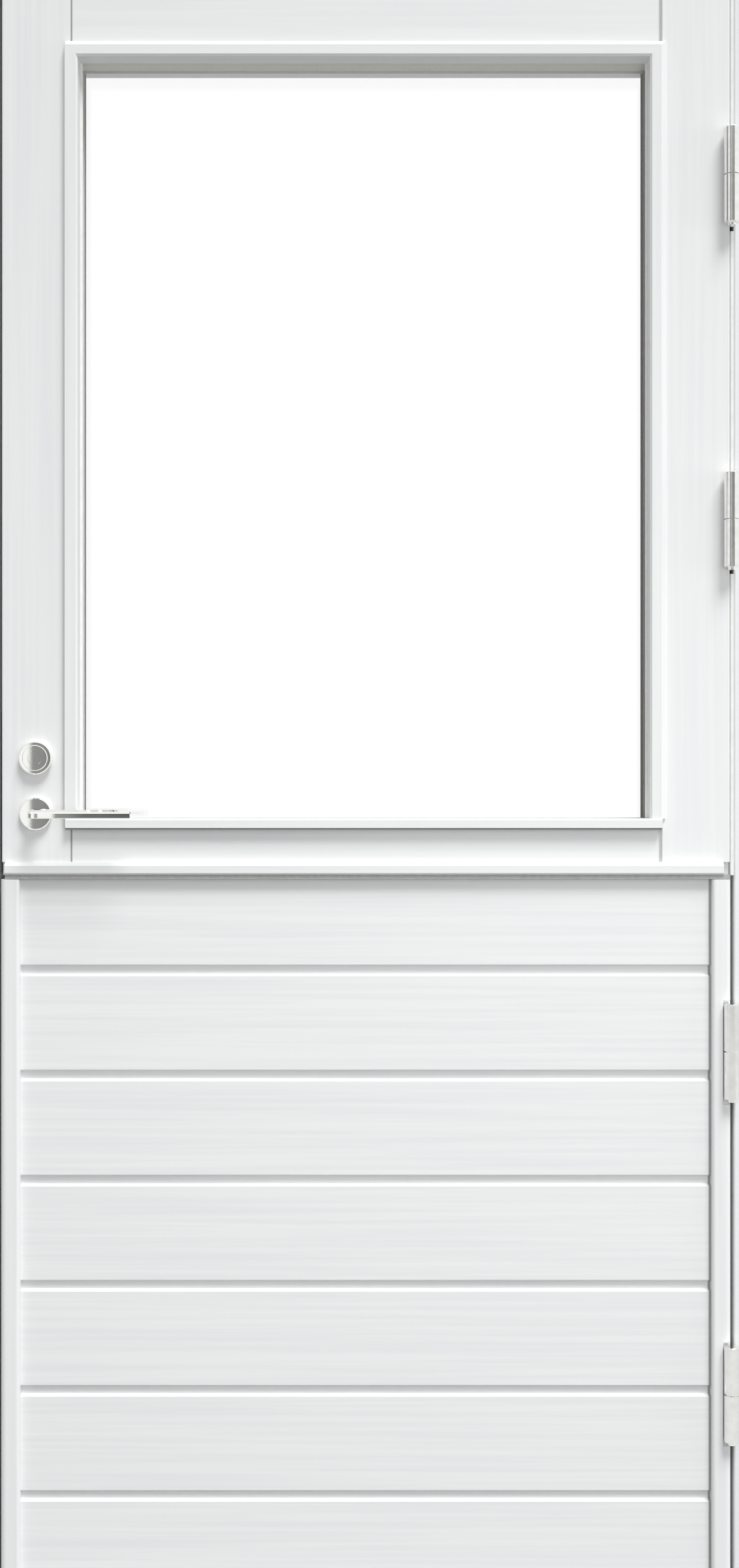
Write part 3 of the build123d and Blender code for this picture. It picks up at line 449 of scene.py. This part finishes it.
# Painted shade along each chamfered joint of the upper leaf.
for middle, reach, joint_shade_tone in JOINT_SHADES:
    for paint in (leaf_upright_joint_shade, leaf_level_joint_shade):
        painted_shade_band(paint, "X", middle * MM, reach * MM, joint_shade_tone)
dress(leaf_upright_joint_shade, "upper_hinge_stile", "upper_latch_stile")
dress(leaf_level_joint_shade, "upper_top_rail", "upper_bottom_rail")
dress(upright_paint, "surround_hinge_side", "surround_latch_side")
dress(level_paint, "surround_top", "drip_rail", "inner_beads")

# Window sill: a sloping moulding under the window. The chamfer along its foot faces down, and
# painted shade greys the paint there, where the foot lies in shade.
SILL_FOOT = 2.4 * MM
sill_paint_and_shade = painted_timber("painted_sill_shaded_foot", "X")
# Painted shade along the sill's foot chamfer.
painted_shade_band(sill_paint_and_shade, "Z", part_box("window_sill")[0].z + SILL_FOOT / 2, SILL_FOOT / 2, "#8E8E8D")
dress(sill_paint_and_shade, "window_sill")

# Glazing: two panes of clear float glass on a plastic spacer, let into the leaf as one sealed
# unit. Each sheet is a clear layer with a mirror, strong at glancing angles, that dims none of
# the light falling through it.
glass = bpy.data.materials.new("float_glass")
glass.use_nodes = True
tree = glass.node_tree
tree.nodes.remove(tree.nodes["Principled BSDF"])
clear = add_node(tree, "ShaderNodeBsdfTransparent", {"Color": linear("#FFFFFF")})
mirror = add_node(tree, "ShaderNodeBsdfGlossy", {"Color": linear("#FFFFFF"), "Roughness": 0.0})
glance = add_node(tree, "ShaderNodeFresnel", {"IOR": 1.5})
looked_at = add_node(tree, "ShaderNodeLightPath").outputs["Is Camera Ray"]
mirrored_share = add_node(
    tree, "ShaderNodeMath", {"operation": "MULTIPLY"}, {0: glance.outputs["Fac"], 1: looked_at}
)
sheet = add_node(
    tree,
    "ShaderNodeMixShader",
    {},
    {"Fac": mirrored_share.outputs["Value"], 1: clear.outputs["BSDF"], 2: mirror.outputs["BSDF"]},
)
tree.links.new(sheet.outputs["Shader"], tree.nodes["Material Output"].inputs["Surface"])
dress(glass, "outer_pane", "inner_pane")

SPACER_GRAIN = 1.5 * MM
spacer_plastic, tree, shader, place = new_material("spacer_plastic", "#E2E4DA", 0.5, ior=1.5)
spacer_grain = add_node(
    tree, "ShaderNodeTexNoise", {"Scale": 1 / SPACER_GRAIN, "Detail": 2.0}, {"Vector": place}
)
spacer_tone = add_node(
    tree,
    "ShaderNodeValToRGB",
    {"stops": [(0.35, linear("#DEE0D6")), (0.65, linear("#E6E8DE"))]},
    {"Fac": spacer_grain.outputs["Fac"]},
)
tree.links.new(spacer_tone.outputs["Color"], shader.inputs["Base Color"])
dress(spacer_plastic, "glazing_spacer")

# Edge seal of the glazing: black butyl on the upright spacer bar on the hinge side, and a black
# rubber lip that packs each side of the inner pane off its bead. They show as dark lines beside
# the glass; the butyl bar on one side only and the hinge side's wider lip are painted shade.
BUTYL_BACK = 6.0 * MM
BUTYL_SKIN = 2.5 * MM
SPACER_WIDTH = 7.0 * MM
LIP_DEPTH = 1.6 * MM
LIP_SIGHT = {"latch": 1.4 * MM, "hinge": 3.6 * MM}
LIP_ROUND = 0.5 * MM
END_CLEARANCE = 0.4 * MM
butyl_as_shade, tree, shader, place = new_material("black_butyl_as_shade", "#454542", 0.6, ior=1.5)
butyl_skin = add_node(tree, "ShaderNodeTexNoise", {"Scale": 1 / BUTYL_SKIN, "Detail": 2.0}, {"Vector": place})
butyl_shade_tone = add_node(
    tree,
    "ShaderNodeValToRGB",
    {"stops": [(0.3, linear("#3F3F3C")), (0.7, linear("#4C4C49"))]},
    {"Fac": butyl_skin.outputs["Fac"]},
)
tree.links.new(butyl_shade_tone.outputs["Color"], shader.inputs["Base Color"])
sight_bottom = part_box("window_sill")[1].z
sight_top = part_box("surround_top")[0].z
sight_sides = (
    ("latch", -1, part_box("surround_latch_side")[1].x),
    ("hinge", 1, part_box("surround_hinge_side")[0].x),
)
spacer_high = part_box("glazing_spacer")[1]
pane_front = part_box("outer_pane")[0].y
pane_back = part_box("inner_pane")[1].y


def sealing_bar(name, material, x_ends, y_ends, corner, bevel, steps):
    """An upright bar beside the window with one upright edge, over a corner of its foot, bevelled."""
    x_low, x_high = sorted(x_ends)
    y_low, y_high = sorted(y_ends)
    bpy.ops.object.select_all(action="DESELECT")
    middle = ((x_low + x_high) / 2, (y_low + y_high) / 2, (sight_bottom + sight_top) / 2)
    bpy.ops.mesh.primitive_cube_add(size=1, location=middle)
    bar = bpy.context.object
    bar.scale = (x_high - x_low, y_high - y_low, sight_top - sight_bottom - END_CLEARANCE)
    settle(bar, name, material)
    pick(bar, "EDGE", lambda edge: all((v.co.xy - Vector(corner)).length < TOUCH for v in edge.verts))
    bpy.ops.mesh.bevel(offset=bevel, segments=steps)
    settle(bar, name, material)
    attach(bar, "upper_leaf")


# The hinge side's butyl bar and its wider lip are painted shade for the reveal in shadow.
for name, side, sight in sight_sides:
    if name == "hinge":
        x_ends = (sight, spacer_high.x - SPACER_WIDTH)
        y_ends = (spacer_high.y - BUTYL_BACK, spacer_high.y)
        sealing_bar("edge_seal_hinge_shade", butyl_as_shade, x_ends, y_ends, (sight, y_ends[0]), LIP_ROUND, 2)
    x_ends = (sight, sight - side * LIP_SIGHT[name])
    y_ends = (pane_back, pane_back + LIP_DEPTH)
    sealing_bar(f"pane_lip_{name}", butyl_as_shade, x_ends, y_ends, (x_ends[1], y_ends[1]), LIP_ROUND, 2)

# Sealant: a fillet of white silicone between each side of the window opening and the outer
# pane, drawn off to a slope when it was soft.
SEALANT_WIDTH = 3.0 * MM
SEALANT_DEPTH = 4.0 * MM
SEALANT_SLOPE = 0.85 * SEALANT_WIDTH
for name, side, sight in sight_sides:
    x_ends = (sight, sight - side * SEALANT_WIDTH)
    y_ends = (pane_front - SEALANT_DEPTH, pane_front)
    sealing_bar(f"sealant_{name}", silicone, x_ends, y_ends, (x_ends[1], y_ends[0]), SEALANT_SLOPE, 1)

# Lock: a mortise lock whose faceplate is let into the edge of the leaf, with its latch and bolt
# drawn in. That edge leans back a little, to clear the jamb. Two screws hold the faceplate, and
# two the strike plate on the jamb.
EDGE_LEAN = math.atan2(3.6, 68)
PLATE_HALF = 1.5 * MM
PLATE_SCREW_INSET = 9 * MM
STRIKE_SCREW_INSET = 10 * MM
plate_low, plate_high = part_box("lock_faceplate")
plate_face = Vector((-math.cos(EDGE_LEAN), math.sin(EDGE_LEAN), 0))
plate_middle = Vector(((plate_low.x + plate_high.x) / 2, (plate_low.y + plate_high.y) / 2, 0))
strike_low, strike_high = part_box("strike_plate")
plate_heights = (plate_low.z + PLATE_SCREW_INSET, plate_high.z - PLATE_SCREW_INSET)
for number, height in enumerate(plate_heights, start=1):
    spot = plate_middle + plate_face * PLATE_HALF + Vector((0, 0, height))
    copy_to(screw, f"faceplate_screw_{number}", spot, plate_face, "upper_leaf")
strike_heights = (strike_low.z + STRIKE_SCREW_INSET, strike_high.z - STRIKE_SCREW_INSET)
for number, height in enumerate(strike_heights, start=1):
    spot = (strike_high.x, (strike_low.y + strike_high.y) / 2, height)
    copy_to(screw, f"strike_screw_{number}", spot, (1, 0, 0), "frame")
put_away(screw)

# Polished stainless steel: levers, roses, ring, cylinder and thumb turn, cast or turned and then
# polished, so they mirror the room with a faint trace of the polishing lines. The outer lever
# was finished by hand, which leaves its long face leaning a third of a degree.
LEVER_LEAN = 0.0063
BRUSH_WIDTH = 0.5 * MM
BRUSH_LENGTH = 20 * MM
BRUSH_DEPTH = 0.002 * MM


def polished_steel(name, lean=0.0):
    """Mirror-polished steel; its faces lean a little towards -X where a slope is given."""
    material, tree, shader, place = new_material(name, "#F6F6F2", 0.02, metallic=1.0)
    brush = streaks(tree, place, "X", BRUSH_WIDTH, BRUSH_LENGTH)
    brush_tone = add_node(
        tree,
        "ShaderNodeValToRGB",
        {"stops": [(0.3, linear("#F2F2EE")), (0.7, linear("#FAFAF6"))]},
        {"Fac": brush},
    )
    brush_rough = add_node(
        tree,
        "ShaderNodeMapRange",
        {"From Min": 0.3, "From Max": 0.7, "To Min": 0.012, "To Max": 0.024},
        {"Value": brush},
    )
    across = add_node(tree, "ShaderNodeSeparateXYZ", {}, {"Vector": place}).outputs["X"]
    slope = add_node(tree, "ShaderNodeMath", {"operation": "MULTIPLY", 1: lean}, {0: across})
    face = add_node(
        tree, "ShaderNodeBump", {"Strength": 1.0, "Distance": 1.0}, {"Height": slope.outputs["Value"]}
    )
    brush_bump = add_node(
        tree,
        "ShaderNodeBump",
        {"Strength": 0.03, "Distance": BRUSH_DEPTH},
        {"Height": brush, "Normal": face.outputs["Normal"]},
    )
    tree.links.new(brush_tone.outputs["Color"], shader.inputs["Base Color"])
    tree.links.new(brush_rough.outputs["Result"], shader.inputs["Roughness"])
    tree.links.new(brush_bump.outputs["Normal"], shader.inputs["Normal"])
    return material


steel = polished_steel("polished_stainless_steel")
dress(steel, "outer_rose", "inner_rose", "cylinder_ring", "lock_cylinder", "thumb_turn")
dress(steel, "lever_spindle", "inner_lever")
dress(polished_steel("hand_polished_steel", LEVER_LEAN), "outer_lever")

# Lower leaf: seven tongued boards between two battens, on stiles and rails, with a smooth
# panel indoors. The wide boards show a little more of their grain through the paint, and a
# painted shadow greys their ends beside the hinge batten, where the batten's shadow falls.
BOARD_END_SHADOW_MIDDLE = 1.5 * MM
BOARD_END_SHADOW_REACH = 1.6 * MM
board_paint_and_shadow = painted_timber(
    "painted_cladding_board_shadowed_ends", "X", light="#EEEFEF", shade="#E8E9EA", hair_strength=0.25
)
board_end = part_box("board_1")[1].x
# Painted shadow along the board ends beside the hinge batten.
painted_shade_band(board_paint_and_shadow, "X", board_end - BOARD_END_SHADOW_MIDDLE, BOARD_END_SHADOW_REACH, "#A6A6A5")
dress(board_paint_and_shadow, *[f"board_{number}" for number in range(1, 8)])
dress(upright_paint, "hinge_batten", "latch_batten", "lower_inner_panel")
dress(upright_paint, "lower_hinge_stile", "lower_latch_stile")
dress(level_paint, "lower_top_rail", "lower_bottom_rail")

# Studio: a plain pale floor that throws little light back up, in a white room that gives an
# even light from all sides. The eye, glass and metal see the floor paler than the light does.
FLOOR_WIDTH = 14
FLOOR_SEEN = "#C8C8C8"
FLOOR_BOUNCE = "#7C7C7C"
ROOM_LIGHT = 0.45


def rays_of(tree, *kinds):
    """1 for a ray of any of these kinds of Light Path, and 0 for other rays."""
    path = add_node(tree, "ShaderNodeLightPath")
    chosen = path.outputs[kinds[0]]
    for kind in kinds[1:]:
        either = add_node(
            tree, "ShaderNodeMath", {"operation": "MAXIMUM"}, {0: chosen, 1: path.outputs[kind]}
        )
        chosen = either.outputs["Value"]
    return chosen


floor_paint, tree, shader, _ = new_material("pale_floor", FLOOR_BOUNCE, 0.8)
floor_tone = add_node(
    tree,
    "ShaderNodeMix",
    {"data_type": "RGBA", 6: linear(FLOOR_BOUNCE), 7: linear(FLOOR_SEEN)},
    {"Factor": rays_of(tree, "Is Camera Ray", "Is Glossy Ray", "Is Transmission Ray")},
)
tree.links.new(floor_tone.outputs[2], shader.inputs["Base Color"])
bpy.ops.object.select_all(action="DESELECT")
bpy.ops.mesh.primitive_plane_add(size=FLOOR_WIDTH, location=(0, 0, 0))
floor = bpy.context.object
floor.name = "studio_floor"
floor.data.materials.append(floor_paint)

world = bpy.data.worlds.new("white_room")
bpy.context.scene.world = world
world.use_nodes = True
tree = world.node_tree
lit = tree.nodes["Background"]
lit.inputs["Strength"].default_value = ROOM_LIGHT
lit.inputs["Color"].default_value = linear("#FFFFFF")

# Grey cards in the white room, left and right in front of the door, which only metal mirrors:
# they give the hinges and the lever their upright bands of light and dark. The ceiling is
# white, and so is all that metal behind the glass mirrors.
CEILING_SLOPE = (0.25, 0.5)
# Where the edge of each card starts and ends, in degrees from the front towards the right, and
# the change of tone between them.
CARD_EDGES = (
    (-165, -155, -0.72), (-70, -62, 0.72), (-48, -40, -0.6), (-16, -14, 0.6), (-10.94, -10.82, -0.72),
    (-10.5, -9.9, -0.12), (-9.4, -7.8, -0.06), (-7.3, -6.0, 0.18), (27, 31, 0.72),
)
path = add_node(tree, "ShaderNodeLightPath")
ray = add_node(tree, "ShaderNodeTexCoord").outputs["Generated"]
sides = add_node(tree, "ShaderNodeSeparateXYZ", {}, {"Vector": ray})
towards = add_node(tree, "ShaderNodeMath", {"operation": "MULTIPLY", 1: -1.0}, {0: sides.outputs["Y"]})
bearing = add_node(
    tree, "ShaderNodeMath", {"operation": "ARCTAN2"}, {0: sides.outputs["X"], 1: towards.outputs["Value"]}
)
ceiling = add_node(
    tree,
    "ShaderNodeMapRange",
    {"From Min": CEILING_SLOPE[0], "From Max": CEILING_SLOPE[1]},
    {"Value": sides.outputs["Z"]},
)
tone = add_node(tree, "ShaderNodeValue").outputs["Value"]
tone.default_value = 1.0
for start, end, change in CARD_EDGES:
    edge = add_node(
        tree,
        "ShaderNodeMapRange",
        {"From Min": math.radians(start), "From Max": math.radians(end), "To Max": change},
        {"Value": bearing.outputs["Value"]},
    )
    added = add_node(tree, "ShaderNodeMath", {"operation": "ADD"}, {0: tone, 1: edge.outputs["Result"]})
    tone = added.outputs["Value"]
for lighter in (ceiling.outputs["Result"], path.outputs["Transparent Depth"]):
    greater = add_node(tree, "ShaderNodeMath", {"operation": "MAXIMUM"}, {0: tone, 1: lighter})
    tone = greater.outputs["Value"]
whole = add_node(tree, "ShaderNodeClamp", {}, {"Value": tone})
mirrored = add_node(tree, "ShaderNodeBackground", {"Strength": 1.0}, {"Color": whole.outputs["Result"]})
around = add_node(
    tree,
    "ShaderNodeMixShader",
    {},
    {"Fac": path.outputs["Is Glossy Ray"], 1: lit.outputs["Background"], 2: mirrored.outputs["Background"]},
)
backdrop = add_node(tree, "ShaderNodeBackground", {"Color": linear("#FFFFFF"), "Strength": 1.0})
seen = rays_of(tree, "Is Camera Ray", "Is Singular Ray", "Is Transmission Ray")
shown = add_node(
    tree,
    "ShaderNodeMixShader",
    {},
    {"Fac": seen, 1: around.outputs["Shader"], 2: backdrop.outputs["Background"]},
)
tree.links.new(shown.outputs["Shader"], tree.nodes["World Output"].inputs["Surface"])

# Lamps: a broad soft one high on the right, a weak one in front at the height of the lever, and
# far ones on both sides. The soft boxes have their power in watts, and their width, height and
# place in metres.
HIGH_LAMP_LIGHT = 2.95
HIGH_LAMP_WIDTH = math.radians(24)
HIGH_LAMP_TOWARDS = (-0.6, 1.0, -2.1)
SOFT_BOXES = (
    ("front_lamp", 5.0, 0.8, 0.8, (0.45, -1.5, 1.05)),
    ("right_lamp", 20.0, 1.6, 2.0, (4.5, -1.3, 1.3)),
    ("left_lamp", 12.0, 1.6, 2.0, (-4.5, -1.3, 1.3)),
)
AIM_HEIGHT = 1.05
high_lamp = bpy.data.lights.new("high_lamp", "SUN")
high_lamp.energy = HIGH_LAMP_LIGHT
high_lamp.angle = HIGH_LAMP_WIDTH
lamp = bpy.data.objects.new("high_lamp", high_lamp)
lamp.rotation_euler = Vector(HIGH_LAMP_TOWARDS).to_track_quat("-Z", "Y").to_euler()
bpy.context.scene.collection.objects.link(lamp)
for name, power, width, height, spot in SOFT_BOXES:
    soft_box = bpy.data.lights.new(name, "AREA")
    soft_box.energy = power
    soft_box.shape = "RECTANGLE"
    soft_box.size = width
    soft_box.size_y = height
    lamp = bpy.data.objects.new(name, soft_box)
    lamp.location = spot
    aim = Vector((spot[0] / 3, 0.0, AIM_HEIGHT))
    lamp.rotation_euler = (aim - lamp.location).to_track_quat("-Z", "Y").to_euler()
    lamp.visible_glossy = False
    bpy.context.scene.collection.objects.link(lamp)

# Camera: square to the door, 2.25 m in front of it and a little above the lever, at the
# photograph's angle of view.
CAMERA_PLACE = (4.7 * MM, -2250 * MM, 1029.2 * MM)
HALF_HEIGHT_SEEN = 1000 * MM
camera = bpy.data.cameras.new("camera")
camera.lens = camera.sensor_width / 2 * -CAMERA_PLACE[1] / HALF_HEIGHT_SEEN
camera.clip_start = 0.05
camera_object = bpy.data.objects.new("camera", camera)
camera_object.location = CAMERA_PLACE
camera_object.rotation_euler = (math.pi / 2, 0, 0)
bpy.context.scene.collection.objects.link(camera_object)
bpy.context.scene.camera = camera_object
bpy.context.scene.view_settings.view_transform = "Standard"
